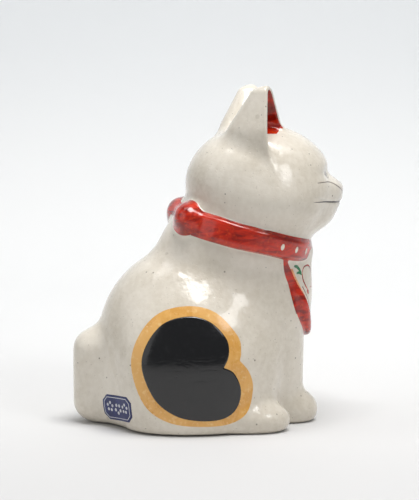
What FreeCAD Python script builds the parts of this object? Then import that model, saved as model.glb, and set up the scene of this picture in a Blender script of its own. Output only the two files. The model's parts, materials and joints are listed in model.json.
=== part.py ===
import FreeCAD
import Part
import math
import os

# A seated beckoning cat, slip-cast in stoneware and painted with overglaze enamels.
# Millimetres. +Z up, the cat faces -Y, its right side is -X. The origin is the centre of its
# footprint, on the table. Places are written at(side, forward, up); side is + to the cat's left.

# ---- Driving dimensions -------------------------------------------------------------------
WALL = 4.0            # thickness of the cast walls
FOOT_ROUND = 4.0      # how softly the walls turn under at the table
BASE_THICK = 5.0      # the slab that closes the foot
DRAIN_RADIUS = 6.0      # casting drain hole through the base slab
DRAIN_FORWARD = -16.0   # where the hole is, behind the middle of the foot
SLAB_INSET = 7.5        # from the widest part of the walls in to the slab's edge

NECK_FORWARD = 16.5     # centre of the neck, where head and body meet
NECK_UP = 88.0
NECK_TILT = 17.0        # degrees, front edge low
NECK_SIDE = 28.0        # half widths of the neck
NECK_LENGTH = 29.5
BAND_FORWARD = 15.6     # centre of the collar itself
BAND_UP = 85.2
BAND_TILT = 14.5
COLLAR_SIDE = 32.2      # half widths of the collar, over its outside
COLLAR_LENGTH = 32.3
COLLAR_HEIGHT = 10.8
COLLAR_ROUND = 1.6      # rounding of its outer edges
DOT_TURNS = (-64, -48, -32, -16, 0, 16, 32, 48, 64)   # degrees from the front of the collar
DOT_WIDE = 1.8
DOT_TALL = 2.8
DOT_SINK = 0.45         # how deep each dot's centre lies under the collar's face

BIB_THICK = 3.8         # how far the bib stands off the chest
ENAMEL = 0.4            # thickness of the fired enamel patches
EAR_TIP = 5.4           # radius of an ear's tip
EAR_SLOPE = 23.7        # degrees between the ear's side and its axis
EAR_TALL = 19.3         # from the ear's middle up to its tip's centre
EAR_DOWN = 22.0         # and down to its foot inside the head
EAR_WIDE = 13.0         # the most the cone spreads
EAR_DEEP = 1.83         # how many times deeper than wide the ear is
EAR_CUP = 1.0           # the same for the cup in it
EAR_WALL = 2.2          # ear wall round its cup
EAR_ENAMEL = 0.5
LABEL_THICK = 0.3       # the paper label on the rump
LABEL_LONG = 21.0
LABEL_TALL = 11.6
LABEL_CHAMFER = 2.6

# Outlines. The first point is a corner.
# Bib: (side, up) from its top right corner down to the bottom centre.
BIB_EDGE = [(-24, 79), (-22.6, 73), (-21.6, 68), (-21.3, 64), (-21, 58.8), (-19.8, 52.1), (-15.9, 45.2),
            (-8.8, 39.4), (0, 37.6)]
BIB_PANEL = [(-23.6, 79), (-22.4, 74), (-21.3, 70), (-20.5, 66.2),
             (-19.3, 60), (-16.7, 52.8), (-9.8, 45), (0, 42)]
# Patches: (forward, up). The corner of the flank patches is the notch between their two lobes.
FLANK_CORE = [(0.9, 30.7), (3.2, 36), (2.4, 43), (-4.6, 50.4), (-14, 52.8), (-25, 49.5), (-32.5, 40),
              (-34.3, 29.5), (-29, 16.6), (-20, 9.6), (-9.2, 7.3), (1, 8), (7, 12.4), (8.8, 20.4), (5.6, 28)]
FLANK_RIM = [(8.2, 33.4), (8.9, 37.5), (7.6, 44), (-1.6, 54), (-13.1, 57), (-26, 54), (-35, 44.3),
             (-38.7, 30.7), (-33.4, 13.9), (-22.5, 6.4), (-6.9, 4.7), (5, 5.8), (12.2, 11),
             (14.5, 20.7), (12.6, 28)]
BROW_CORE = [(27, 108), (17, 109.5), (10.5, 115), (12, 121), (22, 125.5), (32, 127), (40, 124.5),
             (44, 118.5), (41.5, 112), (35, 109)]
BROW_RIM = [(27, 104), (15, 105.5), (6.5, 113), (8, 123), (20, 129), (32, 130.8), (42, 128.5),
            (48, 120.5), (45.5, 110.5), (37, 105.5)]


def at(side, forward, up):
    """A point from the cat's own directions."""
    return (side, -forward, up)


# ---- Shapes as distance fields ---------------------------------------------------------------
# Each returns about how far a point is outside the shape, and is negative inside it.
def ellipsoid(p, centre, radii, low=None):
    """An ellipsoid. low is a longer vertical radius for its lower half, which makes it an egg."""
    x, y, z = p[0] - centre[0], p[1] - centre[1], p[2] - centre[2]
    a, b, c = radii
    if low is not None and z < 0:
        c = low
    k0 = math.sqrt((x / a) ** 2 + (y / b) ** 2 + (z / c) ** 2)
    k1 = math.sqrt((x / a ** 2) ** 2 + (y / b ** 2) ** 2 + (z / c ** 2) ** 2)
    return k0 * (k0 - 1.0) / max(k1, 1e-9)


def melt(a, b, k):
    """The union of two fields, with a soft fillet about k wide."""
    h = max(k - abs(a - b), 0.0) / k
    return min(a, b) - h * h * k / 4.0


def pare(a, b, k):
    """What two fields share, with the edge rounded off."""
    return -melt(-a, -b, k)


def neck_field(p):
    return ellipsoid(p, at(0, NECK_FORWARD, NECK_UP), (NECK_SIDE, NECK_LENGTH, 22))


def body_field(p):
    rump = ellipsoid(p, at(0, -8, 36), (38, 42.5, 44.5), low=78)
    chest = ellipsoid(p, at(0, 16.5, 50), (28, 26.5, 58))
    near = at(math.copysign(23.5, p[0]), -8, 28)
    haunch = ellipsoid(p, near, (20.5, 34, 31), low=72)
    root = ellipsoid(p, at(0, -38, 12), (19.5, 13.5, 18))
    breast = ellipsoid(p, at(0, 28, 67), (17, 15.2, 15))
    nape = ellipsoid(p, at(0, 4, 79), (21, 25.5, 17))
    body = melt(melt(rump, chest, 14), nape, 10)
    body = melt(melt(body, haunch, 9), root, 8)
    body = melt(body, breast, 8)
    return melt(body, neck_field(p), 12)


def torso_field(p):
    return pare(body_field(p), -p[2], FOOT_ROUND)


def head_field(p):
    skull = ellipsoid(p, at(0, 23.5, 108), (33, 33.5, 27))
    cheeks = ellipsoid(p, at(0, 25, 101), (34.5, 28, 17))
    muzzle = ellipsoid(p, at(0, 50, 104), (13, 12, 9.5))
    jaw = ellipsoid(p, at(0, 44, 96), (15, 14.5, 10.5))
    face = melt(skull, cheeks, 7)
    face = melt(face, melt(muzzle, jaw, 5), 6)
    return melt(face, neck_field(p), 7)


# ---- Sections ---------------------------------------------------------------------------------
AROUND = 44           # points on each section
TORSO_LEVELS = [0, 0.3, 1, 2.2, 4, 8, 14, 21, 28, 35, 42, 49, 55, 61, 67, 73, 79, 85, 91, 97, 102]
HEAD_RISE = [0, 4, 9, 15, 21, 27, 33, 39, 46, 53, 60, 67, 74, 80, 85]


def vec(p):
    return FreeCAD.Vector(*p)

def reach(field, start, way, level):
    """How far along a ray that starts inside, the field first grows to the level."""
    near, far = 0.0, 90.0
    for _ in range(34):
        mid = (near + far) / 2
        if field([s + mid * w for s, w in zip(start, way)]) < level + 1e-6:
            near = mid
        else:
            far = mid
    return near

def section(field, start, level, way):
    """A smooth closed wire. way(turn) is the ray's direction at a turn from the cat's back."""
    points = []
    for i in range(AROUND):
        w = way(2 * math.pi * i / AROUND)
        r = reach(field, start, w, level)
        points.append(vec([s + r * k for s, k in zip(start, w)]))
    curve = Part.BSplineCurve()
    steps = [i / AROUND for i in range(AROUND + 1)]
    curve.interpolate(Points=points, PeriodicFlag=True, Parameters=steps)
    return Part.Wire(curve.toShape())

def level_way(turn):
    return (math.sin(turn), math.cos(turn), 0.0)

def torso_solid(level, heights):
    """The body as a stack of level sections, closed flat at both ends."""
    wires = [section(torso_field, at(0, 9, z), level, level_way) for z in heights]
    return Part.makeLoft(wires, True, False)

def head_solid(level):
    """The head as sections that rise from the collar's plane to a pole at the crown."""
    tilt = math.radians(NECK_TILT)
    middle = at(0, NECK_FORWARD, NECK_UP)
    up = (0.0, -math.sin(tilt), math.cos(tilt))
    back = (0.0, math.cos(tilt), math.sin(tilt))
    wires = []
    for rise in HEAD_RISE:
        c, s = math.cos(math.radians(rise)), math.sin(math.radians(rise))

        def way(turn):
            flat = (math.sin(turn), math.cos(turn) * back[1], math.cos(turn) * back[2])
            return [c * f + s * u for f, u in zip(flat, up)]
        wires.append(section(head_field, middle, level, way))
    crown = [m + reach(head_field, middle, up, level) * u for m, u in zip(middle, up)]
    return Part.makeLoft(wires + [Part.Vertex(vec(crown))], True, False)

# ---- Simple solids ----------------------------------------------------------------------------
def round_cone(start, end, start_radius, end_radius):
    """Two balls and the cone that is tangent to both."""
    axis = vec(end) - vec(start)
    s = (start_radius - end_radius) / axis.Length
    c = math.sqrt(1 - s * s)

    def on_ball(height, radius, across, rise):
        return FreeCAD.Vector(radius * across, 0, height + radius * rise)
    half = math.sqrt(0.5)
    bottom = on_ball(0, start_radius, 0, -1)
    low = on_ball(0, start_radius, c, s)
    high = on_ball(axis.Length, end_radius, c, s)
    top = on_ball(axis.Length, end_radius, 0, 1)
    edges = [
        Part.Arc(bottom, on_ball(0, start_radius, half, -half), low).toShape(),
        Part.LineSegment(low, high).toShape(),
        Part.Arc(high, on_ball(axis.Length, end_radius, 0.4, math.sqrt(0.84)), top).toShape(),
        Part.LineSegment(top, bottom).toShape(),
    ]
    profile = Part.Face(Part.Wire(edges))
    body = profile.revolve(FreeCAD.Vector(0, 0, 0), FreeCAD.Vector(0, 0, 1), 360)
    turn = FreeCAD.Rotation(FreeCAD.Vector(0, 0, 1), axis)
    body.Placement = FreeCAD.Placement(vec(start), turn)
    return body

def egg(centre, radii):
    """An ellipsoid with its axes along side, forward and up."""
    grow = FreeCAD.Matrix()
    grow.scale(FreeCAD.Vector(*radii))
    body = Part.makeSphere(1.0).transformGeometry(grow)
    body.translate(vec(centre))
    return body

def half_space(place):
    """A box that fills everything near the cat on the +Z side of a placement."""
    box = Part.makeBox(200, 200, 200, FreeCAD.Vector(-100, -100, 0))
    box.Placement = place.multiply(box.Placement)
    return box

def mirrored(shape):
    return shape.mirror(FreeCAD.Vector(0, 0, 0), FreeCAD.Vector(1, 0, 0))

def without(shape, *neighbours):
    """The shape with its neighbours cut away, so that they meet face to face."""
    for other in neighbours:
        shape = shape.cut(other)
    return shape

def sideways(side, outline):
    """A prism out through one flank. The smooth outline starts and ends at its corner."""
    curve = Part.BSplineCurve()
    curve.interpolate(Points=[vec(at(side * 12, f, u)) for f, u in outline + outline[:1]])
    face = Part.Face(Part.Wire(curve.toShape()))
    return face.extrude(FreeCAD.Vector(side * 60, 0, 0))

def frontal(outline):
    """A prism out through the chest, from one half of a smooth outline and its mirror image."""
    both = outline + [(-s, u) for s, u in reversed(outline[:-1])]
    points = [vec(at(s, 12, u)) for s, u in both]
    curve = Part.BSplineCurve()
    curve.interpolate(Points=points)
    top = Part.LineSegment(points[-1], points[0])
    face = Part.Face(Part.Wire([curve.toShape(), top.toShape()]))
    return face.extrude(FreeCAD.Vector(0, -60, 0))

def save(node, shape):
    if len(shape.Solids) == 1:
        shape = shape.Solids[0]
    print("%-24s %3d solids %9.1f mm3 valid %s" % (node, len(shape.Solids), shape.Volume, shape.isValid()))
    shape.exportStep("parts/" + node + ".step")

os.makedirs("parts", exist_ok=True)
origin = FreeCAD.Vector(0, 0, 0)
up_axis = FreeCAD.Vector(0, 0, 1)

# ---- Body, head and base ----------------------------------------------------------------------
above_table = half_space(FreeCAD.Placement())
neck_turn = FreeCAD.Rotation(FreeCAD.Vector(1, 0, 0), NECK_TILT)
neck_place = FreeCAD.Placement(vec(at(0, NECK_FORWARD, NECK_UP)), neck_turn)
band_turn = FreeCAD.Rotation(FreeCAD.Vector(1, 0, 0), BAND_TILT)
band_place = FreeCAD.Placement(vec(at(0, BAND_FORWARD, BAND_UP)), band_turn)

# The whole body rises into the head; the body proper stops at the collar's plane.
torso_whole = torso_solid(0.0, TORSO_LEVELS).common(above_table)
torso_outer = torso_whole.cut(half_space(neck_place))
head_outer = head_solid(0.0)

# The cavity runs up through the neck into the head, and the slab closes it below.
torso_room = torso_solid(-WALL, [BASE_THICK] + [z for z in TORSO_LEVELS if z > BASE_THICK])
slab_edge = section(body_field, at(0, 9, 0), -SLAB_INSET, level_way)
slab = Part.Face(slab_edge).extrude(FreeCAD.Vector(0, 0, BASE_THICK))
drain = Part.makeCylinder(DRAIN_RADIUS, BASE_THICK, vec(at(0, DRAIN_FORWARD, 0)))
torso_shell = without(torso_outer, torso_room, slab)
save("torso_shell", torso_shell)
save("base_slab", slab.cut(drain))
save("head_shell", head_outer.cut(head_solid(-WALL)))

# ---- Ears: round cones, sliced off in front and hollowed, with enamel in the hollow -----------
def ear_cone(side, thin, deep):
    """Half of a round-tipped cone, behind the ear's front plane and deeper than it is wide."""
    slope = math.radians(EAR_SLOPE)
    c, s = math.cos(slope), math.sin(slope)
    tip, wide = EAR_TIP - thin, EAR_WIDE - thin
    shoulder = vec((wide, 0, EAR_TALL - (wide * c - tip) / s))
    touch = vec((tip * c, 0, EAR_TALL + tip * s))
    bend = (math.pi / 2 + slope) / 2
    over = vec((tip * math.cos(bend), 0, EAR_TALL + tip * math.sin(bend)))
    top = vec((0, 0, EAR_TALL + tip))
    foot = [vec((0, 0, -EAR_DOWN)), vec((wide, 0, -EAR_DOWN))]
    corners = [top] + foot + [shoulder, touch]
    edges = [Part.makeLine(p, q) for p, q in zip(corners, corners[1:])]
    edges.append(Part.Arc(touch, over, top).toShape())
    cone = Part.Face(Part.Wire(edges)).revolve(origin, FreeCAD.Vector(0, 0, -1), 180)
    middle = at(side * 18.5, 28, 128)
    # Columns: across the ear, out through its front, and up its leaning axis.
    place = FreeCAD.Matrix(-0.883, side * 0.469 * deep, side * 0.12, middle[0],
                           -side * 0.469, -0.883 * deep, 0.15, middle[1],
                           0, 0, 1, middle[2],
                           0, 0, 0, 1)
    return cone.transformGeometry(place)


def ear(side):
    """The whole ear, the ear with its cup, and the enamel that lines the cup."""
    whole = ear_cone(side, 0, EAR_DEEP).cut(head_outer)
    hollow = ear_cone(side, EAR_WALL, EAR_CUP)
    bare = ear_cone(side, EAR_WALL + EAR_ENAMEL, EAR_CUP)
    lining = whole.common(hollow).cut(bare)
    return whole, whole.cut(hollow), lining


ear_whole_left = ear(1)[0]
for side, hand in ((-1, "right"), (1, "left")):
    shell, lining = ear(side)[1:]
    save("ear_" + hand, shell)
    save("ear_enamel_" + hand, lining)

# ---- Collar: an oval band with rounded edges, dots round its front and a bow at the nape ------
oval = Part.Ellipse(origin, COLLAR_LENGTH, COLLAR_SIDE).toShape()
band = Part.Face(Part.Wire(oval)).extrude(FreeCAD.Vector(0, 0, COLLAR_HEIGHT))
rims = [e for e in band.Edges if abs(e.BoundBox.ZLength) < 0.01]
band = band.makeFillet(COLLAR_ROUND, rims)
band.translate(FreeCAD.Vector(0, 0, -COLLAR_HEIGHT / 2))
band.rotate(origin, up_axis, 90)
band.Placement = band_place.multiply(band.Placement)
save("collar_band", without(band, torso_whole, head_outer))

dots = []
for turn in DOT_TURNS:
    a = math.radians(turn)
    spot = FreeCAD.Vector(COLLAR_SIDE * math.sin(a), -COLLAR_LENGTH * math.cos(a), 0)
    dot = egg((0, 0, 0), (DOT_WIDE / 2, DOT_WIDE / 2, DOT_TALL / 2))
    sunk = spot * (1 - DOT_SINK / spot.Length)
    dot.Placement = band_place.multiply(FreeCAD.Placement(sunk, FreeCAD.Rotation()))
    dots.append(dot.cut(band))
save("collar_dots", Part.makeCompound(dots))

bow = egg(at(-13.5, -11, 93.4), (9, 6.3, 7.2))
bow = without(bow, band, torso_whole, head_outer)
save("bow_loop_right", bow)
save("bow_loop_left", mirrored(bow))

# ---- Legs, feet and tail ----------------------------------------------------------------------
standing = round_cone(at(-11, 29, 50), at(-10, 33, 6), 11.5, 9.5)
standing = standing.fuse(egg(at(-10, 37.8, 5.5), (10.5, 11.2, 9.3)))
standing = standing.common(above_table).cut(torso_outer)
foot = egg(at(-31, 17.5, 5), (11, 15, 8.5)).common(above_table)
foot = without(foot, torso_outer, standing)
tail = round_cone(at(0, -51.8, 10), at(0, -51.8, 33), 10, 10)
tail = tail.common(above_table).cut(torso_outer)

elbow = at(33, 32, 68)
raised = round_cone(at(25, 19, 56), elbow, 12, 10)
raised = raised.fuse(round_cone(elbow, at(35, 34, 98), 10, 8.5))
raised = raised.fuse(egg(at(34.6, 38, 110), (9.3, 11, 12)))
raised = without(raised, torso_whole, head_outer, band)

save("foreleg_standing_right", standing)
save("foreleg_raised_left", raised)
save("hind_foot_right", foot)
save("hind_foot_left", mirrored(foot))
save("tail", tail)

# ---- Bib: a raised apron with a border --------------------------------------------------------
apron = torso_solid(BIB_THICK, TORSO_LEVELS[7:]).cut(torso_whole)
inner = frontal(BIB_PANEL)
outer = frontal(BIB_EDGE).cut(inner)
save("bib_panel", without(apron.common(inner), band, standing, raised))
save("bib_border", without(apron.common(outer), band, standing, raised))

# ---- Enamel patches on both flanks and over the left eye --------------------------------------
skin_levels = [3.0] + [z for z in TORSO_LEVELS if z > 3.0]
torso_skin = torso_solid(ENAMEL, skin_levels).cut(torso_whole)
head_skin = head_solid(ENAMEL).cut(head_outer)

def patch(name, skin, side, core, rim, *neighbours):
    inner = sideways(side, core)
    outer = sideways(side, rim).cut(inner)
    save(name + "_black", without(skin.common(inner), *neighbours))
    save(name + "_ochre", without(skin.common(outer), *neighbours))

patch("patch_right", torso_skin, -1, FLANK_CORE, FLANK_RIM, foot)
patch("patch_left", torso_skin, 1, FLANK_CORE, FLANK_RIM, mirrored(foot))
patch("patch_brow", head_skin, 1, BROW_CORE, BROW_RIM, ear_whole_left, raised, band)

# ---- Paper label on the rump beside the tail, with its corners cut ----------------------------
def label_prism():
    along = FreeCAD.Vector(-0.927, -0.375, 0)
    outward = FreeCAD.Vector(-0.375, 0.927, 0)
    a, b, c = LABEL_LONG / 2, LABEL_TALL / 2, LABEL_CHAMFER
    corners = []
    for i, j in ((1, 1), (-1, 1), (-1, -1), (1, -1)):
        cut = [(i * a, j * (b - c)), (i * (a - c), j * b)]
        corners += cut if i * j > 0 else cut[::-1]
    middle = vec(at(-17, -30, 10))
    points = [middle + along * p + up_axis * (q + 0.07 * p) for p, q in corners]
    face = Part.Face(Part.makePolygon(points + points[:1]))
    return face.extrude(outward * 30)

label = torso_solid(LABEL_THICK, skin_levels).cut(torso_whole)
save("shop_label", label.common(label_prism()).cut(tail))
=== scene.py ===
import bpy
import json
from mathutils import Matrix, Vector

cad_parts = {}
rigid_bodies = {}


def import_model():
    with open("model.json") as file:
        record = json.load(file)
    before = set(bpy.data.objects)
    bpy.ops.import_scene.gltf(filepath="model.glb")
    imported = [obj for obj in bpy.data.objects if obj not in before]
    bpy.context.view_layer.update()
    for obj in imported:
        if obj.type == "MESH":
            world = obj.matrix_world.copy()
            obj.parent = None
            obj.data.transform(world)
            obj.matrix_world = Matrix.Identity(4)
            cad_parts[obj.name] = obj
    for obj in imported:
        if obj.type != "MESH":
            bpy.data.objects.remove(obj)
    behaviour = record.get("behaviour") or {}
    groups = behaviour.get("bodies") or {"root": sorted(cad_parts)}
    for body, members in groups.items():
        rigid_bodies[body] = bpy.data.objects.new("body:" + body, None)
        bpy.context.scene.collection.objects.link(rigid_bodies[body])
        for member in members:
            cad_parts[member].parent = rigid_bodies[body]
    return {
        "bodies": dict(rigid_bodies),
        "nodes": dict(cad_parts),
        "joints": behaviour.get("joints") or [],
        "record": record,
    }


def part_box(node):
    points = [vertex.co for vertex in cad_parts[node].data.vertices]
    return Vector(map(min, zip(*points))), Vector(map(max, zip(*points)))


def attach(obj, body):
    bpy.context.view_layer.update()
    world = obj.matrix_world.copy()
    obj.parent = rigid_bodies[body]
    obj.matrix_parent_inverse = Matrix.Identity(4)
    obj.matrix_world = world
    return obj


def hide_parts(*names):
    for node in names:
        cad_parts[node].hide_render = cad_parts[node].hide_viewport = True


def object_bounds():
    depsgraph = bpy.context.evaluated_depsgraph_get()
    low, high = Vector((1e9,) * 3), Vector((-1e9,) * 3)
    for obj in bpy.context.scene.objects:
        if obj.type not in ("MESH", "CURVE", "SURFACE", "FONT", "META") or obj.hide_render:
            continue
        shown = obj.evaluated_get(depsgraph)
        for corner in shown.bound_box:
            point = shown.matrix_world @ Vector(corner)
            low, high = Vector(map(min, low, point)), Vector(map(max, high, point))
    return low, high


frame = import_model()
cad_box = [list(v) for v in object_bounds()]

import json
import math
import bpy
import numpy as np
import openvdb as vdb
from mathutils import Vector

# Shapes are worked out in millimetres, as (side, forward, up): side is + to the cat's left.
# The body, limbs and trim are one smooth glazed surface, made from the same fields as the CAD
# solids with soft fillets between them, then cut into named pieces along their boundaries.
VOXEL = 0.65
ROOT = "root"


# ---- What the CAD says ----------------------------------------------------------------------
def cad(node):
    """A node's low and high corners, in millimetres, as (side, forward, up)."""
    low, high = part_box(node)
    return (np.array([low.x, -high.y, low.z]) * 1000, np.array([high.x, -low.y, high.z]) * 1000)


band_low, band_high = cad("collar_band")
BAND_SIDE = (band_high[0] - band_low[0]) / 2
BAND_LONG = 32.3      # from the collar's middle to its front
BAND_HALF = 5.4       # half its height
BAND_THICK = 3.8
BAND = ((0, 15.6, 85.2), math.radians(14.5))     # the collar's centre and tilt
NECK = ((0, 16.5, 88), math.radians(17.0))       # where the head meets the body
NECK_RADII = (28, 29.5, 22)
FOOT_ROUND = 1.6      # the rounding round the foot of the cat
SLAB_INSET = 7.5      # the slab's edge, in from the outside of the body

# The ears: where one stands, how it leans, and the way that it faces.
EAR_MID = (18.5, 28, 128)
EAR_LEAN = (0.12, 0.15)
EAR_FACES = (0.469, 0.883)
EAR_TALL = 19.3
EAR_DOWN = 9          # how far its cone goes down into the head
EAR_WIDE = 13
EAR_FOOT = 16.8       # the radii of its cone
EAR_TIP = 5.4
EAR_DEEP = 1.83       # how much deeper than wide, outside and in the cup
CUP_DEEP = 1.3
EAR_WALL = 2.2
CUP_BOTTOM = 131.2    # the red stops here on the head, and a little lower on the ear
LINING_BOTTOM = 130

# The raised layers.
BIB_THICK = 3.1
BORDER_RISE = 0.6
DOT_RISE = 0.3
PATCH_RISE = 0.3
LABEL_RISE = 0.28


# ---- Distance fields, in millimetres ---------------------------------------------------------
def ellipsoid(p, centre, radii, low=None):
    """The distance to an ellipsoid, with another radius below its middle where low is given."""
    q = p - np.asarray(centre, np.float32)
    r = np.array(radii, np.float32) * np.ones_like(q)
    if low is not None:
        r[..., 2] = np.where(q[..., 2] < 0, low, radii[2])
    k0 = np.sqrt(np.sum((q / r) ** 2, -1))
    k1 = np.sqrt(np.sum((q / r ** 2) ** 2, -1))
    return k0 * (k0 - 1) / np.maximum(k1, 1e-9)


def round_cone(p, a, b, r1, r2):
    """The distance to two balls and the cone that joins them."""
    a, b = np.asarray(a, np.float32), np.asarray(b, np.float32)
    ba = b - a
    l2 = float(ba @ ba)
    rr = r1 - r2
    a2 = l2 - rr * rr
    pa = p - a
    y = pa @ ba
    z = y - l2
    v = pa * l2 - y[..., None] * ba
    x2 = np.sum(v * v, -1)
    y2 = y * y * l2
    z2 = z * z * l2
    k = np.sign(rr) * rr * rr * x2
    top = np.sqrt(x2 + z2) / l2 - r2
    bottom = np.sqrt(x2 + y2) / l2 - r1
    wall = (np.sqrt(x2 * a2 / l2) + y * rr) / l2 - r1
    return np.where(np.sign(z) * a2 * z2 > k, top, np.where(np.sign(y) * a2 * y2 < k, bottom, wall))


def melt(a, b, k):
    """Two fields joined by a fillet k wide."""
    h = np.maximum(k - np.abs(a - b), 0) / k
    return np.minimum(a, b) - h * h * k / 4


def pare(a, b, k):
    """What is inside both fields, with its edge rounded."""
    return -melt(-a, -b, k)


def smooth_step(x, low, high):
    t = np.clip((x - low) / (high - low), 0, 1)
    return t * t * (3 - 2 * t)


def outline_distance(q, outline):
    """Signed distance from 2D points to a closed polygon, negative inside."""
    best = np.full(len(q), 1e9, np.float32)
    inside = np.zeros(len(q), bool)
    for a, b in zip(outline, np.roll(outline, -1, axis=0)):
        e, w = b - a, q - a
        t = np.clip((w @ e) / max(e @ e, 1e-9), 0, 1)
        gap = w - t[:, None] * e
        best = np.minimum(best, np.sum(gap * gap, -1))
        if a[1] != b[1]:
            crosses = (a[1] > q[:, 1]) != (b[1] > q[:, 1])
            at_x = a[0] + (q[:, 1] - a[1]) * e[0] / e[1]
            inside ^= crosses & (q[:, 0] < at_x)
    return np.where(inside, -1, 1) * np.sqrt(best)


def spline(points, steps=8, closed=False):
    """A smooth curve through points, of any dimension."""
    p = np.array(points, float)
    n = len(p)
    out = []
    for i in range(n if closed else n - 1):
        if closed:
            a, b, c, d = p[i - 1], p[i], p[(i + 1) % n], p[(i + 2) % n]
        else:
            a, b, c, d = p[max(i - 1, 0)], p[i], p[i + 1], p[min(i + 2, n - 1)]
        for t in np.arange(steps) / steps:
            out.append(0.5 * (2 * b + (c - a) * t + (2 * a - 5 * b + 4 * c - d) * t ** 2
                              + (3 * b - a - 3 * c + d) * t ** 3))
    if not closed:
        out.append(p[-1])
    return np.array(out)


def tilted(p, frame):
    """Points in a tilted frame: side, forward in its plane, and up along its axis."""
    centre, tilt = frame
    q = p - np.asarray(centre, np.float32)
    c, s = math.cos(tilt), math.sin(tilt)
    return np.stack([q[..., 0], q[..., 1] * c - q[..., 2] * s, q[..., 1] * s + q[..., 2] * c], -1)


def neck(p):
    return ellipsoid(p, NECK[0], NECK_RADII)


def body(p):
    rump = ellipsoid(p, (0, -8, 36), (38, 42.5, 44.5), low=78)
    chest = ellipsoid(p, (0, 16.5, 50), (28, 26.5, 58))
    nape = ellipsoid(p, (0, 4, 79), (21, 25.5, 17))
    q = p.copy()
    q[..., 0] = np.abs(q[..., 0])
    haunch = ellipsoid(q, (23.5, -8, 28), (20.5, 34, 31), low=72)
    root = ellipsoid(p, (0, -38, 12), (19.5, 13.5, 18))
    breast = ellipsoid(p, (0, 28, 61), (17, 15, 15))
    f = melt(melt(rump, chest, 14), nape, 10)
    f = melt(melt(melt(f, haunch, 9), root, 8), breast, 8)
    return melt(f, neck(p), 12)


def torso(p):
    return pare(body(p), -p[..., 2], 4.0)


def head(p):
    skull = ellipsoid(p, (0, 23.5, 108), (33, 33.5, 27))
    cheeks = ellipsoid(p, (0, 25, 101), (34.5, 28, 17))
    muzzle = ellipsoid(p, (0, 50, 104), (13, 12, 9.5))
    jaw = ellipsoid(p, (0, 44, 96), (15, 14.5, 10.5))
    upper_lip = ellipsoid(p, (0, 57.2, 101.6), (6.2, 4.2, 3.6))
    nose = melt(ellipsoid(p, (0, 58.5, 106), (4.8, 3.7, 3)), upper_lip, 1.6)
    face = melt(melt(skull, cheeks, 7), melt(melt(muzzle, nose, 1.6), jaw, 5), 6)
    side, forward, up = p[..., 0], p[..., 1], p[..., 2]
    lips = np.exp(-((up - 99.6 - 0.004 * side ** 2) / 0.75) ** 2) * smooth_step(forward, 41, 49)
    front = smooth_step(forward, 38, 48)
    bridge = np.exp(-((up - 113) / 3.4) ** 2 - (side / 18) ** 2) * front
    socket = np.exp(-((np.abs(side) - 12) / 5) ** 2 - ((up - 112.5) / 3.5) ** 2) * front
    return melt(face, neck(p), 7) + 0.4 * lips + 1.9 * bridge + 0.9 * socket


def ear_parts(p, side):
    """The whole ear, a cone deeper than it is wide; the plane across its front; and its cup."""
    q = p - np.array([side * EAR_MID[0], *EAR_MID[1:]], np.float32)
    z = q[..., 2]
    x = q[..., 0] - side * EAR_LEAN[0] * z
    y = q[..., 1] + EAR_LEAN[1] * z
    across = side * -EAR_FACES[1] * x + EAR_FACES[0] * y
    front = side * EAR_FACES[0] * x + EAR_FACES[1] * y

    def cone(thin, deep):
        squashed = np.stack([across, front / deep, z], -1)
        shape = round_cone(squashed, (0, 0, -EAR_DOWN), (0, 0, EAR_TALL), EAR_FOOT - thin, EAR_TIP - thin)
        return pare(shape, np.hypot(across, front / deep) - EAR_WIDE + thin, 2)

    return cone(0, EAR_DEEP) * 1.25, front, pare(cone(EAR_WALL, CUP_DEEP), -front - 12, 3)


def ear(p, side):
    whole, front, hollow = ear_parts(p, side)
    return pare(pare(whole, front, 1.5), -hollow, 1.2)


def tail(p):
    return round_cone(p, (0, -51.8, 10), (0, -51.8, 33), 10, 10)


def standing(p):
    """The right foreleg, which the cat stands on."""
    leg = round_cone(p, (-11, 29, 50), (-10, 33, 6), 11.5, 9.5)
    return melt(leg, ellipsoid(p, (-10, 37.8, 5.5), (10.5, 11.2, 9.3)), 4)


def foot(p, side):
    return ellipsoid(p, (side * 31, 17.5, 5), (11, 15, 8.5))


def raised(p):
    """The left foreleg, bent up beside the cheek."""
    upper = round_cone(p, (25, 19, 56), (33, 32, 68), 12, 10)
    fore = round_cone(p, (33, 32, 68), (35, 34, 98), 10, 8.5)
    paw = ellipsoid(p, (34.6, 38, 110), (9.3, 11, 12))
    return melt(melt(upper, fore, 5), paw, 5)


def band_across(q):
    """Radial distance out from the collar's outer oval."""
    r = np.sqrt((q[..., 0] / BAND_SIDE) ** 2 + (q[..., 1] / BAND_LONG) ** 2)
    g = np.sqrt((q[..., 0] / BAND_SIDE ** 2) ** 2 + (q[..., 1] / BAND_LONG ** 2) ** 2)
    return (r - 1) * r / np.maximum(g, 1e-6)


DOT_TURNS = np.radians([-64, -48, -32, -16, 0, 16, 32, 48, 64])


def dots_distance(q):
    """How far collar points are outside the nearest dot's outline."""
    best = np.full(q.shape[:-1], 9.0, np.float32)
    for t in DOT_TURNS:
        spot = np.array([BAND_SIDE * math.sin(t), BAND_LONG * math.cos(t)])
        along = np.array([BAND_SIDE * math.cos(t), -BAND_LONG * math.sin(t)])
        along /= np.linalg.norm(along)
        s = (q[..., :2] - spot) @ along
        ahead = (q[..., :2] @ spot) > 0
        d = (np.sqrt((s / 0.95) ** 2 + (q[..., 2] / 1.45) ** 2) - 1) * 1.1
        best = np.minimum(best, np.where(ahead & (np.abs(s) < 6), d, 9.0))
    return best


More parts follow.
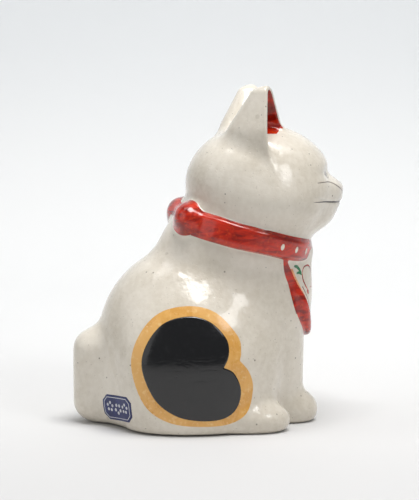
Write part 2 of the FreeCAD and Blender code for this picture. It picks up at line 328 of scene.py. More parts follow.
def collar(p):
    """A round-edged band, a little uneven, with its dots raised on it."""
    q = tilted(p, BAND)
    wave = 0.25 * np.sin(q[..., 0] * 0.21 + 1.3) + 0.2 * np.sin(q[..., 1] * 0.27)
    out = band_across(q) + BAND_THICK - 0.25 * wave
    up = np.abs(q[..., 2] - 0.6 * wave)
    rx, rz = BAND_THICK, BAND_HALF - 0.014 * q[..., 1]
    soft = 2.6
    a = np.maximum(out - (rx - soft), 0)
    b = np.maximum(up - (rz - soft), 0)
    d = np.sqrt(a * a + b * b) - soft + 0.06 * (up / rz) ** 2
    return d - DOT_RISE * smooth_step(-dots_distance(q), -0.1, 0.35)


def bow(p, side):
    return ellipsoid(p, (side * 13.5, -11, 93.4), (9, 6.3, 7.4))


def half_outline(points):
    """A closed outline from its right half."""
    right = spline(points, 8)
    left = right[::-1] * [-1, 1]
    return np.vstack([right, left[1:]])


# The bib's outer edge and its white panel, as (side, up).
BIB_EDGE = half_outline([(-25.4, 79), (-23.6, 73), (-22.2, 68), (-21.3, 64), (-21, 58.8), (-19.8, 52.1),
                         (-15.9, 45.2), (-8.8, 39.4), (0, 37.6)])
BIB_PANEL = half_outline([(-24.5, 79), (-22.9, 74.5), (-21.3, 70), (-20.5, 66.2), (-19.3, 60),
                          (-16.7, 52.8), (-9.8, 45), (0, 42)])


def near_bib(p):
    return (p[..., 1] > 14) & (np.abs(p[..., 0]) < 34) & (p[..., 2] > 30) & (p[..., 2] < 96)


def bib(p):
    """A layer over the chest and the top of the leg, thinner where it wraps round under the collar."""
    near = near_bib(p)
    out = np.full(p.shape[:-1], 20.0, np.float32)
    q = p[near]
    if len(q):
        flat_q = q[:, [0, 2]].astype(float)
        edge = outline_distance(flat_q, BIB_EDGE)
        panel = outline_distance(flat_q, BIB_PANEL)
        thick = BIB_THICK + BORDER_RISE * smooth_step(panel, -0.5, 0.6)
        thick *= 1 - 0.78 * smooth_step(q[..., 2], 54, 76) * smooth_step(np.abs(q[..., 0]), 7, 20)
        out[near] = pare(melt(torso(q), standing(q) + 1.2, 6) - thick, edge * 0.9, 2.4)
    return out


def cat(p):
    """The whole figure, with a soft fillet at each joint."""
    f = melt(torso(p), tail(p), 7)
    f = melt(f, standing(p), 6)
    f = melt(f, foot(p, -1), 5)
    f = melt(f, foot(p, 1), 5)
    h = melt(head(p), ear(p, -1), 4)
    h = melt(h, ear(p, 1), 4)
    f = melt(f, h, 3)
    f = melt(f, raised(p), 5)
    f = melt(f, bib(p), 1.2)
    f = melt(f, collar(p), 1.4)
    f = melt(f, bow(p, -1), 4.5)
    f = melt(f, bow(p, 1), 4.5)
    return pare(f, -p[..., 2], FOOT_ROUND)


# ---- The surface ------------------------------------------------------------------------------
def gradient(p, field, step=0.12):
    g = np.empty_like(p)
    for i in range(3):
        d = np.zeros(3, np.float32)
        d[i] = step
        g[:, i] = (field(p + d) - field(p - d)) / (2 * step)
    return g


def surface(field, low, high, h):
    """Vertices and triangles of the field's zero surface, with its own smooth normals."""
    block = 4             # voxels along a side of the coarse blocks that are looked at first
    batch = 400000
    count = (np.ceil((high - low) / (h * block)).astype(int)) * block
    mid = low + h * (block - 1) / 2
    axes = [mid[i] + h * block * np.arange(count[i] // block) for i in range(3)]
    coarse_p = np.stack(np.meshgrid(*axes, indexing="ij"), -1).astype(np.float32)
    coarse = field(coarse_p.reshape(-1, 3)).reshape(coarse_p.shape[:3])
    near = np.abs(coarse) < h * block * 1.5
    fine = np.repeat(np.repeat(np.repeat(coarse, block, 0), block, 1), block, 2)
    fine = np.sign(fine) * 3 * h
    live = np.repeat(np.repeat(np.repeat(near, block, 0), block, 1), block, 2)
    where = np.argwhere(live)
    values = np.empty(len(where), np.float32)
    for i in range(0, len(where), batch):
        values[i:i + batch] = field((low + h * where[i:i + batch]).astype(np.float32))
    fine[live] = np.clip(values, -3 * h, 3 * h)
    grid = vdb.FloatGrid(3 * h)
    grid.copyFromArray(fine.astype(np.float32))
    points, quads = grid.convertToQuads(0.0)
    p = (low + h * points).astype(np.float32)
    for _ in range(3):
        g = gradient(p, field)
        f = field(p)
        step = f / np.maximum(np.sum(g * g, -1), 0.2)
        p = p - np.clip(step, -h, h)[:, None] * g
    n = gradient(p, field)
    n /= np.maximum(np.linalg.norm(n, axis=1, keepdims=True), 1e-6)
    tris = np.concatenate([quads[:, [0, 1, 2]], quads[:, [0, 2, 3]]]).astype(int)
    face = np.cross(p[tris[:, 1]] - p[tris[:, 0]], p[tris[:, 2]] - p[tris[:, 0]])
    if np.mean(np.sum(face * n[tris[:, 0]], -1)) < 0:
        tris = tris[:, ::-1]
    return p, n, tris


def cut(soup, values):
    """Cuts triangles where the values cross zero. Returns the negative and positive parts."""
    sign = values < 0
    count = sign.sum(1)
    low, high = [soup[count == 3]], [soup[count == 0]]
    for want, mine, other in ((1, low, high), (2, high, low)):
        rows = np.where(count == want)[0]
        if not len(rows):
            continue
        lone = np.argmax(sign[rows] if want == 1 else ~sign[rows], 1)
        order = (lone[:, None] + np.arange(3)) % 3
        s = soup[rows[:, None], order]
        v = values[rows[:, None], order]
        t1 = (v[:, 0] / (v[:, 0] - v[:, 1]))[:, None]
        t2 = (v[:, 0] / (v[:, 0] - v[:, 2]))[:, None]
        a = s[:, 0] + (s[:, 1] - s[:, 0]) * t1
        b = s[:, 0] + (s[:, 2] - s[:, 0]) * t2
        mine.append(np.stack([s[:, 0], a, b], 1))
        other.append(np.stack([a, s[:, 1], s[:, 2]], 1))
        other.append(np.stack([a, s[:, 2], b], 1))
    return np.concatenate(low), np.concatenate(high)


def refine(soup, chosen, times=1):
    """Splits the chosen triangles in four."""
    for _ in range(times):
        s = soup[chosen]
        a, b, c = s[:, 0], s[:, 1], s[:, 2]
        ab, bc, ca = (a + b) / 2, (b + c) / 2, (c + a) / 2
        new = np.concatenate([np.stack(t, 1) for t in ((a, ab, ca), (ab, b, bc), (ca, bc, c), (ab, bc, ca))])
        soup = np.concatenate([soup[~chosen], new])
        chosen = np.concatenate([np.zeros((~chosen).sum(), bool), np.ones(len(new), bool)])
    return soup


def build(name, soup, material, *nodes, slot=None):
    """One visual piece from its triangles. It stands for the CAD nodes given."""
    corners = soup.reshape(-1, soup.shape[-1])
    key = np.round(corners[:, :3] * 2000).astype(np.int64)
    _, first, index = np.unique(key, axis=0, return_index=True, return_inverse=True)
    index = index.reshape(-1)
    tris = index.reshape(-1, 3)
    ok = (tris[:, 0] != tris[:, 1]) & (tris[:, 1] != tris[:, 2]) & (tris[:, 0] != tris[:, 2])
    tris = tris[ok]
    p = corners[first, :3]
    n = corners[first, 3:6]
    co = np.stack([p[:, 0], -p[:, 1], p[:, 2]], 1) / 1000
    no = np.stack([n[:, 0], -n[:, 1], n[:, 2]], 1)
    no /= np.maximum(np.linalg.norm(no, axis=1, keepdims=True), 1e-9)
    tris = tris[:, ::-1]
    mesh = bpy.data.meshes.new(name)
    mesh.vertices.add(len(co))
    mesh.vertices.foreach_set("co", co.astype(np.float32).reshape(-1))
    mesh.loops.add(len(tris) * 3)
    mesh.loops.foreach_set("vertex_index", tris.astype(np.int32).reshape(-1))
    mesh.polygons.add(len(tris))
    mesh.polygons.foreach_set("loop_start", np.arange(0, len(tris) * 3, 3, dtype=np.int32))
    mesh.update(calc_edges=True)
    mesh.validate()
    mesh.polygons.foreach_set("use_smooth", np.ones(len(mesh.polygons), bool))
    mesh.normals_split_custom_set_from_vertices(no.astype(np.float32))
    mesh.materials.append(material)
    piece = bpy.data.objects.new(name, mesh)
    bpy.context.scene.collection.objects.link(piece)
    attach(piece, ROOT)
    if nodes:
        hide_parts(*nodes)


# ---- Materials --------------------------------------------------------------------------------
class Nodes:
    """Short calls for building a node tree."""

    def __init__(self, name):
        self.mat = bpy.data.materials.new(name)
        self.mat.use_nodes = True
        self.tree = self.mat.node_tree
        self.shader = self.tree.nodes["Principled BSDF"]
        self.place = self.tree.nodes.new("ShaderNodeTexCoord").outputs["Object"]

    def set(self, **values):
        for key, value in values.items():
            socket = self.shader.inputs[key.replace("_", " ")]
            if isinstance(value, bpy.types.NodeSocket):
                self.tree.links.new(value, socket)
            else:
                socket.default_value = value

    def node(self, kind, inputs, **props):
        n = self.tree.nodes.new("ShaderNode" + kind)
        for key, value in props.items():
            setattr(n, key, value)
        for key, value in inputs.items():
            socket = n.inputs[key]
            if isinstance(value, bpy.types.NodeSocket):
                self.tree.links.new(value, socket)
            else:
                socket.default_value = value
        return n

    def noise(self, scale, detail=3.0, rough=0.55, at=None, distortion=0.0):
        n = self.node("TexNoise", {"Vector": at or self.place, "Scale": scale, "Detail": detail,
                                   "Roughness": rough, "Distortion": distortion})
        return n.outputs["Fac"]

    def ramp(self, value, low, high, out_low=0.0, out_high=1.0):
        limits = {"From Min": low, "From Max": high, "To Min": out_low, "To Max": out_high}
        n = self.node("MapRange", {"Value": value, **limits}, interpolation_type="SMOOTHSTEP")
        return n.outputs["Result"]

    def math(self, how, a, b):
        return self.node("Math", {0: a, 1: b}, operation=how).outputs[0]

    def mix(self, fac, a, b):
        n = self.node("Mix", {}, data_type="RGBA")
        for key, value in (("Factor_Float", fac), ("A_Color", a), ("B_Color", b)):
            socket = next(s for s in n.inputs if s.identifier == key)
            if isinstance(value, bpy.types.NodeSocket):
                self.tree.links.new(value, socket)
            else:
                socket.default_value = value
        return next(s for s in n.outputs if s.identifier == "Result_Color")

    def specks(self, scale, share, radius, seed=0.0):
        """1 inside scattered round specks, for a share of the cells."""
        shift = (seed, seed * 0.7, -seed)
        at = self.node("VectorMath", {0: self.place, 1: shift}, operation="ADD").outputs[0]
        cell = self.node("TexVoronoi", {"Vector": at, "Scale": scale, "Randomness": 1.0})
        pick = self.node("SeparateColor", {"Color": cell.outputs["Color"]})
        size = self.math("MULTIPLY", pick.outputs[1], radius)
        beyond = self.math("SUBTRACT", cell.outputs["Distance"], size)
        inside = self.ramp(beyond, 0.0, radius * 0.5, 1.0, 0.0)
        chosen = self.math("LESS_THAN", pick.outputs[0], share)
        return self.math("MULTIPLY", inside, chosen)

    def bump(self, height, distance, strength=1.0):
        inputs = {"Height": height, "Distance": distance, "Strength": strength}
        return self.node("Bump", inputs).outputs["Normal"]


def rgb(r, g, b):
    """An sRGB colour, 0 to 255, as linear."""
    def lin(c):
        c /= 255
        return c / 12.92 if c < 0.04045 else ((c + 0.055) / 1.055) ** 2.4
    return (lin(r), lin(g), lin(b), 1.0)


MUZZLE = (0, -0.058, 0.1005)      # the middle of the greyer tint round the muzzle, under the nose, in metres


def glaze(name, base, dark, light, specked=1.0):
    """Clear glossy glaze over stoneware: slow changes of hue, a grey-mauve tint round the muzzle
    under the nose, iron specks and fine pits."""
    rough = 0.13
    m = Nodes(name)
    slow = m.ramp(m.noise(38, 3), 0.35, 0.65)
    fine = m.ramp(m.noise(420, 4), 0.3, 0.75)
    colour = m.mix(slow, dark, base)
    colour = m.mix(m.math("MULTIPLY", fine, 0.35), colour, light)
    # A grey-mauve tint round the muzzle: full under the nose, fading out by 13 mm.
    muzzle = m.node("VectorMath", {0: m.place, 1: MUZZLE}, operation="DISTANCE").outputs["Value"]
    colour = m.mix(m.ramp(muzzle, 0.004, 0.013, 0.3, 0.0), colour, rgb(140, 128, 134))
    iron = m.specks(330, 0.3 * specked, 0.12)
    haze = m.specks(150, 0.12 * specked, 0.16, seed=3.1)
    dust = m.specks(900, 0.25 * specked, 0.2, seed=1.7)
    colour = m.mix(m.math("MULTIPLY", haze, 0.25), colour, rgb(142, 128, 108))
    colour = m.mix(m.math("MULTIPLY", dust, 0.3), colour, rgb(120, 108, 92))
    colour = m.mix(m.math("MULTIPLY", iron, 0.62), colour, rgb(74, 62, 50))
    pits = m.specks(760, 0.3, 0.22, seed=5.3)
    wave = m.noise(160, 2)
    peel = m.noise(620, 2)
    height = m.math("SUBTRACT", m.math("MULTIPLY", wave, 0.8), m.math("MULTIPLY", pits, 0.16))
    height = m.math("ADD", height, m.math("MULTIPLY", peel, 0.3))
    normal = m.bump(height, 0.0004, 0.6)
    m.set(Base_Color=colour, Normal=normal, Roughness=m.ramp(fine, 0, 1, rough, rough + 0.1))
    m.set(IOR=1.5, Coat_Weight=0.25, Coat_Roughness=0.06, Subsurface_Weight=0.0)
    return m.mat


def enamel(name, base, dark, light, rough=0.12, streak=1.0, along=3.2):
    """Overglaze enamel: brush streaks, thin bright places and pooled dark ones."""
    m = Nodes(name)
    stretched = m.node("Mapping", {"Vector": m.place, "Scale": (1.0, 1.0, along)}).outputs[0]
    brush = m.noise(90, 5, 0.6, at=stretched, distortion=0.6)
    fine = m.noise(520, 3)
    colour = m.mix(m.ramp(brush, 0.36, 0.62, 0.0, streak), dark, base)
    colour = m.mix(m.ramp(fine, 0.52, 0.78, 0.0, 0.6 * streak), colour, light)
    pin = m.specks(600, 0.1, 0.17, seed=2.2)
    colour = m.mix(m.math("MULTIPLY", pin, 0.5), colour, light)
    height = m.math("ADD", m.math("MULTIPLY", brush, 0.6), m.math("MULTIPLY", fine, 0.2))
    m.set(Base_Color=colour, Normal=m.bump(height, 0.0004, 0.5))
    m.set(Roughness=m.ramp(brush, 0.3, 0.7, rough, rough + 0.12))
    m.set(IOR=1.52, Coat_Weight=0.4, Coat_Roughness=0.05)
    return m.mat


CREAM = glaze("cream_glaze", rgb(220, 212, 198), rgb(207, 198, 182), rgb(234, 228, 216))
WHITE = glaze("bib_white", rgb(222, 214, 200), rgb(212, 203, 188), rgb(234, 229, 218), specked=0.5)
RED = enamel("red_enamel", rgb(200, 38, 4), rgb(128, 14, 3), rgb(222, 78, 20))
BLACK = enamel("black_enamel", rgb(8, 8, 10), rgb(5, 5, 7), rgb(58, 58, 60), rough=0.07, streak=0.3)
OCHRE = enamel("ochre_enamel", rgb(226, 172, 92), rgb(216, 158, 76), rgb(240, 206, 146), rough=0.24,
               along=1.0)
GOLD = enamel("gold_line_enamel", rgb(236, 170, 122), rgb(220, 140, 90), rgb(244, 190, 150), rough=0.2)
MAROON = enamel("dark_red_line", rgb(120, 26, 24), rgb(92, 14, 16), rgb(150, 50, 44), rough=0.2)
GREEN = enamel("green_enamel", rgb(46, 128, 84), rgb(28, 98, 62), rgb(90, 160, 120), rough=0.15)
INK = enamel("black_line", rgb(54, 46, 43), rgb(36, 30, 29), rgb(84, 72, 66), rough=0.22)
PRINT = enamel("label_print", rgb(206, 206, 210), rgb(186, 188, 196), rgb(224, 224, 226), rough=0.45)
SEPIA = enamel("sepia_line", rgb(124, 112, 100), rgb(96, 84, 74), rgb(148, 138, 124), rough=0.25)
DOTS = enamel("white_enamel", rgb(238, 230, 214), rgb(228, 216, 196), rgb(246, 242, 232), rough=0.12)


def paper():
    """Printed paper: a flat dark blue with the grain of the sheet."""
    m = Nodes("label_paper")
    grain = m.noise(1500, 4, 0.7)
    blot = m.noise(240, 3)
    colour = m.mix(m.ramp(blot, 0.3, 0.7), rgb(30, 38, 84), rgb(44, 52, 104))
    colour = m.mix(m.ramp(grain, 0.55, 0.8, 0, 0.35), colour, rgb(96, 104, 150))
    m.set(Base_Color=colour, Normal=m.bump(grain, 0.00006))
    m.set(Roughness=m.ramp(grain, 0.3, 0.7, 0.35, 0.55))
    return m.mat


def stoneware():
    """Bare fired clay: warm, gritty and matt."""
    m = Nodes("bare_stoneware")
    grit = m.noise(900, 5, 0.7)
    cloud = m.noise(60, 3)
    colour = m.mix(m.ramp(cloud, 0.3, 0.7), rgb(186, 160, 128), rgb(206, 184, 152))
    colour = m.mix(m.specks(420, 0.3, 0.2), colour, rgb(120, 92, 66))
    m.set(Base_Color=colour, Normal=m.bump(grit, 0.0002))
    m.set(Roughness=m.ramp(grit, 0.3, 0.7, 0.75, 0.95))
    return m.mat


PAPER = paper()
BARE = stoneware()


# ---- Painting on the surface ------------------------------------------------------------------
def over(soup, field):
    """The field's values at every corner of the triangles."""
    return field(soup[..., :3].reshape(-1, 3).astype(np.float32)).reshape(soup.shape[:2])


def paint(soup, field, times=2):
    """Splits out what is inside a painted shape, with finer triangles along its edge."""
    for _ in range(times):
        near = np.abs(over(soup, field)).min(1) < np.ptp(soup[..., :3], axis=1).max(1) * 1.1
        soup = refine(soup, near)
    return cut(soup, over(soup, field))


def emboss(soup, field, height, width):
    """Raises a layer off the surface, rounding it down to its outline."""
    corners = soup.reshape(-1, 6)
    p = corners[:, :3].astype(np.float32)
    d = field(p)
    g = gradient(p, field, 0.05)
    g -= np.sum(g * corners[:, 3:], 1, keepdims=True) * corners[:, 3:]
    t = np.clip(-d / width, 0, 1)
    out = corners.copy()
    out[:, :3] += corners[:, 3:] * (height * t * (2 - t))[:, None]
    out[:, 3:] += g * (height * (2 - 2 * t) / width * (t < 1))[:, None]
    return out.reshape(soup.shape)


def flat(outline, axes, side=0, limit=0.0):
    """The distance to a flat outline, on one side of the cat only, or on its front."""
    def field(p):
        d = np.full(len(p), 20.0, np.float32)
        near = p[:, 0] * side > limit if side else p[:, 1] > 5
        q = p[near][:, axes].astype(float)
        close = np.all((q > outline.min(0) - 4) & (q < outline.max(0) + 4), 1)
        v = np.full(len(q), 20.0)
        v[close] = outline_distance(q[close], outline)
        d[near] = v
        return d
    return field


def settle(points):
    """Moves points level onto the cat's surface."""
    p = np.array(points, np.float32)
    for _ in range(6):
        g = gradient(p, cat)
        g[:, 2] = 0
        p = p - np.clip(cat(p), -2, 2)[:, None] * g / np.maximum(np.sum(g * g, -1, keepdims=True), 0.3)
    return p


def stroke(points, width, taper=0.6):
    """The distance to a brush line through points on the surface, thinner at its ends."""
    line = settle(spline(points, 7))
    share = np.linspace(0, 1, len(line))
    radius = width / 2 * (1 - taper * np.abs(2 * share - 1) ** 2.5)
    low, high = line.min(0) - 3, line.max(0) + 3

    def field(p):
        d = np.full(len(p), 20.0, np.float32)
        near = np.all((p > low) & (p < high), 1)
        q = p[near]
        best = np.full(len(q), 20.0)
        for a, b, ra, rb in zip(line, line[1:], radius, radius[1:]):
            e = b - a
            t = np.clip((q - a) @ e / max(float(e @ e), 1e-6), 0, 1)
            gap = np.linalg.norm(q - a - t[:, None] * e, axis=1) - (ra + (rb - ra) * t)
            best = np.minimum(best, gap)
        d[near] = best
        return d
    return field


def spot(centre, radius):
    """The distance to a round dot on the surface."""
    centre = settle([centre])[0]
    return lambda p: np.linalg.norm(p - centre, axis=1) - radius


def union(fields):
    return lambda p: np.min([f(p) for f in fields], axis=0)


def mirrored(points):
    return [[(side * x, y, z) for x, y, z in points] for side in (-1, 1)]


def on_bib(points):
    """Points given as (side, up), set near the round front of the bib."""
    return [(x, 48 - 0.024 * x * x, z) for x, z in points]


# Haunch and brow patches, as (forward, up). Each haunch outline starts at its notch.
FLANK_CORE = spline([(0.9, 30.7), (3.2, 36), (2.4, 43), (-4.6, 50.4), (-14, 52.8), (-25, 49.5), (-32.5, 40),
                     (-34.3, 29.5), (-29, 16.6), (-20, 9.6), (-9.2, 7.3), (1, 8), (7, 12.4), (8.8, 20.4),
                     (5.6, 28), (0.9, 30.7)], 6)
FLANK_RIM = spline([(8.2, 33.4), (8.9, 37.5), (7.6, 44), (-1.6, 54), (-13.1, 57), (-26, 54), (-35, 44.3),
                    (-38.7, 30.7), (-33.4, 13.9), (-22.5, 6.4), (-6.9, 4.7), (5, 5.8), (12.2, 11),
                    (14.5, 20.7), (12.6, 28), (8.2, 33.4)], 6)
BROW_CORE = spline([(27, 108), (17, 109.5), (10.5, 115), (12, 121), (22, 125.5), (32, 127), (40, 124.5),
                    (44, 118.5), (41.5, 112), (35, 109)], 6, closed=True)
BROW_RIM = spline([(27, 104), (15, 105.5), (6.5, 113), (8, 123), (20, 129), (32, 130.8), (42, 128.5),
                   (48, 120.5), (45.5, 110.5), (37, 105.5)], 6, closed=True)


def patch(key, name, core, rim):
    """A black patch and the ochre surround that it lies in."""
    inner, outer = paint(part[key], core, 1)
    ring, part[key] = paint(outer, rim, 1)
    raised_core = emboss(inner, core, PATCH_RISE, 0.6)
    build(name + "_black", raised_core, BLACK, name + "_black", slot="black_enamel")
    build(name + "_ochre", ring, OCHRE, name + "_ochre", slot="ochre_enamel")


# ---- Make the pieces --------------------------------------------------------------------------
SPARE = 3
BELOW = -2.5
cad_low, cad_high = np.array(cad_box) * 1000
low = np.array([cad_low[0] - SPARE, -cad_high[1] - SPARE, BELOW], np.float32)
high = np.array([cad_high[0] + SPARE, -cad_low[1] + SPARE, cad_high[2] + SPARE], np.float32)
points, normals, triangles = surface(cat, low, high, VOXEL)

# Each piece gets the surface where its own field is the deepest.
plane = tilted(points, NECK)[:, 2]
own = {
    "torso": np.maximum(torso(points), plane),
    "head": np.maximum(head(points), -plane),
    "ear_right": ear(points, -1), "ear_left": ear(points, 1),
    "tail": tail(points), "standing": standing(points),
    "foot_right": foot(points, -1), "foot_left": foot(points, 1),
    "raised": raised(points), "collar": collar(points),
    "bow_right": bow(points, -1), "bow_left": bow(points, 1), "bib": bib(points),
}
stack = np.concatenate([points, normals, np.stack(list(own.values()), 1)], 1)
rest = stack[triangles]
part = {}
for i, key in enumerate(own):
    others = np.min(np.delete(rest[..., 6:], i, -1), -1)
    part[key], rest = cut(rest, rest[..., 6 + i] - others)
part = {key: soup[..., :6] for key, soup in part.items()}

for hand, side in (("right", -1), ("left", 1)):
    patch("torso", "patch_" + hand, flat(FLANK_CORE, [1, 2], side), flat(FLANK_RIM, [1, 2], side))
patch("head", "patch_brow", flat(BROW_CORE, [1, 2], 1, 10), flat(BROW_RIM, [1, 2], 1, 10))

# The slab shows in the foot ring's opening.
under = part["torso"][..., 2].max(1) < 0.3
ring = cut(part["torso"][under], over(part["torso"][under], lambda p: -(body(p) + SLAB_INSET)))[0]
part["torso"] = np.concatenate([part["torso"][~under], ring])

# The paper seal, stuck low on the right of the rump, with a border line and three blossoms.
LABEL_MID = np.array([-17, -30, 10], np.float32)
LABEL_ALONG = np.array([-0.927, 0.375, 0], np.float32)
LABEL_OUT = np.array([-0.375, -0.927, 0], np.float32)
LABEL_SLOPE = 0.07
LABEL_EDGE = np.array([(10.5, 3.2), (7.9, 5.8), (-7.9, 5.8), (-10.5, 3.2),
                       (-10.5, -3.2), (-7.9, -5.8), (7.9, -5.8), (10.5, -3.2)])
# Each blossom: its place on the seal, its size and its turn.
BLOSSOMS = ((-5.4, 0.5, 1.75, 0.2), (0.3, -0.3, 1.9, 0.9), (5.9, 0.3, 1.75, 1.5))


def on_label(p):
    """Places on the seal: along it and up it."""
    q = p - LABEL_MID
    a = q @ LABEL_ALONG
    return np.stack([a, q[:, 2] - LABEL_SLOPE * a], 1)


def label_edge(p):
    q = on_label(p)
    near = (np.abs(q[:, 0]) < 16) & (np.abs(q[:, 1]) < 11) & ((p - LABEL_MID) @ LABEL_OUT > 0)
    d = np.full(len(p), 20.0, np.float32)
    d[near] = outline_distance(q[near].astype(float), LABEL_EDGE)
    return d


def blossoms(p):
    """Three five-petalled flowers, each with an open middle."""
    q = on_label(p)
    best = np.full(len(p), 9.0)
    for x, y, r, turn in BLOSSOMS:
        for i in range(5):
            a = turn + i * math.tau / 5
            petal = np.hypot(q[:, 0] - x - r * math.cos(a), q[:, 1] - y - r * math.sin(a)) - 0.4 * r
            best = np.minimum(best, petal)
    return best


def label_ink(p):
    """The border line and the blossoms."""
    edge = label_edge(p)
    return np.minimum(np.abs(edge + 1.15) - 0.16, np.maximum(blossoms(p), edge + 1.6))


slip, part["torso"] = paint(part["torso"], label_edge)
over_tail, part["tail"] = paint(part["tail"], label_edge)
slip = np.concatenate([slip, over_tail])
slip = emboss(slip, label_edge, LABEL_RISE, 0.35)
ink, slip = paint(slip, label_ink, 3)
build("shop_label", slip, PAPER, "shop_label", slot="label_paper")
build("label_print", ink, PRINT)

# Face: the eyes, the crease beside the nose and the mouth are thin brush lines.
UPPER_LID = [(8.6, 52, 111.8), (10.2, 51.5, 113.4), (12.6, 50.5, 113.9), (15.2, 48, 112.9)]
LOWER_LID = [(8.8, 52, 111.6), (10.8, 51.5, 111), (13, 50, 111.4), (15, 48.2, 112.6)]
CREASE = [(20, 41, 109.6), (14.5, 48, 109.5), (10.5, 52, 108.7), (7.5, 55, 107), (5, 58, 104.9),
          (3, 60, 103.6), (0, 61, 103.2)]
MOUTH = [(24, 40, 101.2), (18, 46, 100.8), (12, 52, 100.2), (7, 57, 99.8), (3, 60, 99.7), (0, 61, 100.6)]
LIP_GROOVE = [(0, 62, 103.2), (0, 60.8, 101.8), (0, 60.6, 100.6)]
lids = [stroke(path, 0.75) for path in mirrored(UPPER_LID)]
lower = [stroke(path, 0.45) for path in mirrored(LOWER_LID)]
pupils = [spot((side * 11.6, 51, 112.4), 1.05) for side in (-1, 1)]
crease = [stroke(path, 0.75) for path in mirrored(CREASE)]
mouth = [stroke(path, 0.75, 0.85) for path in mirrored(MOUTH)]
groove = [stroke(LIP_GROOVE, 0.9, 0.3)]
lines, part["head"] = paint(part["head"], union(pupils + mouth + groove))
washes, part["head"] = paint(part["head"], union(lids + lower + crease))
build("face_lines", lines, INK)
build("face_washes", washes, SEPIA)

# Bib: a red border, then a gold line, a dark red line and scrolling sprays on the white panel.
# Paths are (side, up) with a brush width, and each is drawn on both sides.
SPRAYS = (([(16.8, 68.4), (16.7, 65.4), (15.7, 62.8), (14.4, 60.6)], 0.85),
          ([(16.6, 68.6), (15.4, 70.9), (12.4, 71.4), (9.6, 69.2), (8.4, 65), (9.5, 61.4),
            (11.6, 61.6)], 0.85),
          ([(11.5, 56.5), (8.5, 54.2), (5.6, 55.6), (4.4, 58.4)], 0.8),
          ([(8.5, 54.3), (6.4, 51), (3, 49.3)], 0.75))
LEAVES = (([(21.2, 72), (19.4, 71.4), (17.2, 68.6)], 1.5),
          ([(20, 68.6), (18.6, 68.8), (17, 67.6)], 1.2),
          ([(11.8, 53.4), (10.4, 54.2), (9, 54.2)], 1.3),
          ([(5.6, 48.3), (5.2, 50), (6, 51.4)], 1.2),
          ([(6.3, 64.2), (7.2, 66), (8.2, 67.4)], 1.3))
# Round dabs, (side, up, radius): two buds, one at the bottom and the petals of the middle flower.
DABS = ((-14.4, 59.7, 1.15), (14.4, 59.7, 1.15), (0, 49, 0.8), (0, 61.1, 0.95), (2.2, 62.7, 0.95),
        (1.4, 65.3, 0.95), (-1.4, 65.3, 0.95), (-2.2, 62.7, 0.95))
FLOWER_MID = (0, 63.5)


def gold_line(p):
    return np.minimum(panel_edge(p) + 0.75, 71 - p[:, 2])


def dark_line(p):
    return np.maximum(np.abs(panel_edge(p) + 1.9) - 0.24, p[:, 2] - 62.5)


def brushed(paths, taper):
    return [stroke(on_bib([(side * x, z) for x, z in path]), width, taper)
            for side in (-1, 1) for path, width in paths]


panel_edge = flat(BIB_PANEL, [0, 2])
panel, border = paint(part["bib"], panel_edge, 1)
panel, gold = paint(panel, gold_line)
line, panel = paint(panel, dark_line)
sprays = brushed(SPRAYS, 0.6)
leaves = brushed(LEAVES, 0.85)
buds = [spot(on_bib([(x, z)])[0], r) for x, z, r in DABS]
green, panel = paint(panel, union(leaves))
red, panel = paint(panel, union(sprays + buds))
yolk, panel = paint(panel, spot(on_bib([FLOWER_MID])[0], 0.75))
build("bib_panel", panel, WHITE, "bib_panel", slot="white_enamel")
build("bib_border", border, RED, "bib_border", slot="red_enamel")
build("bib_gold_line", np.concatenate([gold, yolk]), GOLD)
build("bib_dark_line", line, MAROON)
build("bib_leaves", green, GREEN)
build("bib_sprays", red, RED)

# The cups of the ears are red, down to where the head rises in front of them.
def cup_floor(side):
    """Where the head shows in an ear's cup."""
    def field(p):
        _, front, hollow = ear_parts(p, side)
        return np.maximum(np.maximum(hollow, front + 0.3), CUP_BOTTOM - p[..., 2])
    return field


def cup_lining(side):
    def field(p):
        return np.maximum(ear_parts(p, side)[2] - 0.35, LINING_BOTTOM - p[..., 2])
    return field


cups = {}
for hand, side in (("right", -1), ("left", 1)):
    cups[hand], part["head"] = paint(part["head"], cup_floor(side))

# Body, head and limbs.
build("torso", part["torso"], CREAM, "torso_shell", slot="cream_glaze")
build("head", part["head"], CREAM, "head_shell", slot="cream_glaze")
for hand, side in (("right", -1), ("left", 1)):
    lining, shell = paint(part["ear_" + hand], cup_lining(side), 1)
    build("ear_" + hand, shell, CREAM, "ear_" + hand, slot="cream_glaze")
    lining = np.concatenate([lining, cups[hand]])
    build("ear_enamel_" + hand, lining, RED, "ear_enamel_" + hand, slot="red_enamel")
    build("hind_foot_" + hand, part["foot_" + hand], CREAM, "hind_foot_" + hand, slot="cream_glaze")
    build("bow_loop_" + hand, part["bow_" + hand], RED, "bow_loop_" + hand, slot="red_enamel")
build("tail", part["tail"], CREAM, "tail", slot="cream_glaze")
build("foreleg_standing_right", part["standing"], CREAM, "foreleg_standing_right", slot="cream_glaze")
build("foreleg_raised_left", part["raised"], CREAM, "foreleg_raised_left", slot="cream_glaze")
dots, band = paint(part["collar"], lambda p: dots_distance(tilted(p, BAND)))
build("collar_band", band, RED, "collar_band", slot="red_enamel")
build("collar_dots", dots, DOTS, "collar_dots", slot="white_enamel")

slab = bpy.data.objects["base_slab"]
slab.data.materials.clear()
slab.data.materials.append(BARE)


# ---- Stage, lights and camera -----------------------------------------------------------------
TURN = math.radians(8)                 # how far the camera is turned off the cat's side
PITCH = math.radians(6.2)              # how far it looks down
CAMERA_BACK = 0.822
CAMERA_UP = 0.167
AHEAD = Vector((math.cos(TURN), -math.sin(TURN), 0))
RIGHT = Vector((-math.sin(TURN), -math.cos(TURN), 0))


def stage_point(right, ahead, up):
    """A place given as the camera sees it."""
    return RIGHT * right + AHEAD * ahead + Vector((0, 0, up))


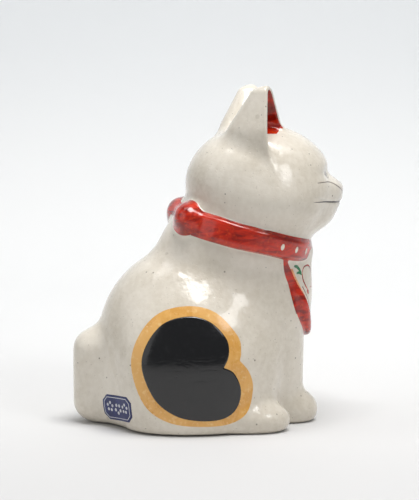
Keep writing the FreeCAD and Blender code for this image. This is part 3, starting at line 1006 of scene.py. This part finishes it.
def backdrop():
    """A floor that curves up into a wall behind the cat, its paper painted with shade."""
    start, curve, half_width, steps = 0.45, 0.35, 1.6, 12
    profile = [(-2.6, 0), (-1.2, 0), (start, 0)]
    for i in range(1, steps + 1):
        a = math.radians(90 * i / steps)
        profile.append((start + curve * math.sin(a), curve * (1 - math.cos(a))))
    profile.append((start + curve, 1.6))
    verts, faces = [], []
    for ahead, up in profile:
        verts += [stage_point(-half_width, ahead, up), stage_point(half_width, ahead, up)]
    for i in range(len(profile) - 1):
        a = 2 * i
        faces.append((a, a + 1, a + 3, a + 2))
    mesh = bpy.data.meshes.new("backdrop")
    mesh.from_pydata([tuple(v) for v in verts], [], faces)
    for f in mesh.polygons:
        f.use_smooth = True
    m = Nodes("backdrop_paper_with_painted_shade")
    ahead = m.node("VectorMath", {0: m.place, 1: tuple(AHEAD)}, operation="DOT_PRODUCT").outputs["Value"]
    up = m.node("SeparateXYZ", {"Vector": m.place}).outputs["Z"]
    # Painted shade: the paper is painted darker up the wall, and darker on the floor towards the camera.
    colour = m.mix(m.ramp(up, 0.0, 0.22), rgb(240, 240, 239), rgb(221, 223, 224))
    colour = m.mix(m.ramp(ahead, -0.25, 0.6), rgb(208, 207, 206), colour)
    grain = m.noise(700, 3)
    m.set(Base_Color=colour, Normal=m.bump(grain, 0.0001, 0.3))
    m.set(Roughness=0.75, Specular_IOR_Level=0.15)
    mesh.materials.append(m.mat)
    obj = bpy.data.objects.new("backdrop", mesh)
    bpy.context.scene.collection.objects.link(obj)


def area(name, right, ahead, up, aim, size, power):
    light = bpy.data.lights.new(name, "AREA")
    light.shape = "RECTANGLE"
    light.size, light.size_y = size
    light.energy = power
    obj = bpy.data.objects.new(name, light)
    obj.location = stage_point(right, ahead, up)
    obj.rotation_euler = (stage_point(*aim) - obj.location).to_track_quat("-Z", "Y").to_euler()
    bpy.context.scene.collection.objects.link(obj)


backdrop()
area("key_above", 0.12, -0.12, 0.95, (0, 0, 0.07), (0.45, 0.45), 7.3)
area("wall_light", 0.0, 0.15, 1.3, (0, 0.75, 0.2), (1.6, 0.4), 4.6)
area("fill_front", 0.75, -0.7, 0.85, (0, 0, 0.07), (0.36, 0.36), 2.8)
area("fill_back", -1.2, -0.4, 0.5, (-0.03, 0, 0.06), (1.3, 1.3), 3.6)

world = bpy.data.worlds.new("studio")
world.use_nodes = True
world.node_tree.nodes["Background"].inputs["Color"].default_value = (0.8, 0.82, 0.85, 1)
world.node_tree.nodes["Background"].inputs["Strength"].default_value = 0.3
bpy.context.scene.world = world
bpy.context.scene.view_settings.view_transform = "Standard"

lens = bpy.data.cameras.new("camera")
lens.lens = 130.5
lens.sensor_width = 36
lens.shift_x = 0.003
lens.clip_start = 0.01
eye = bpy.data.objects.new("camera", lens)
eye.location = -AHEAD * CAMERA_BACK + Vector((0, 0, CAMERA_UP))
aim = AHEAD * math.cos(PITCH) + Vector((0, 0, -math.sin(PITCH)))
eye.rotation_euler = aim.to_track_quat("-Z", "Y").to_euler()
bpy.context.scene.collection.objects.link(eye)
bpy.context.scene.camera = eye

bpy.context.view_layer.update()
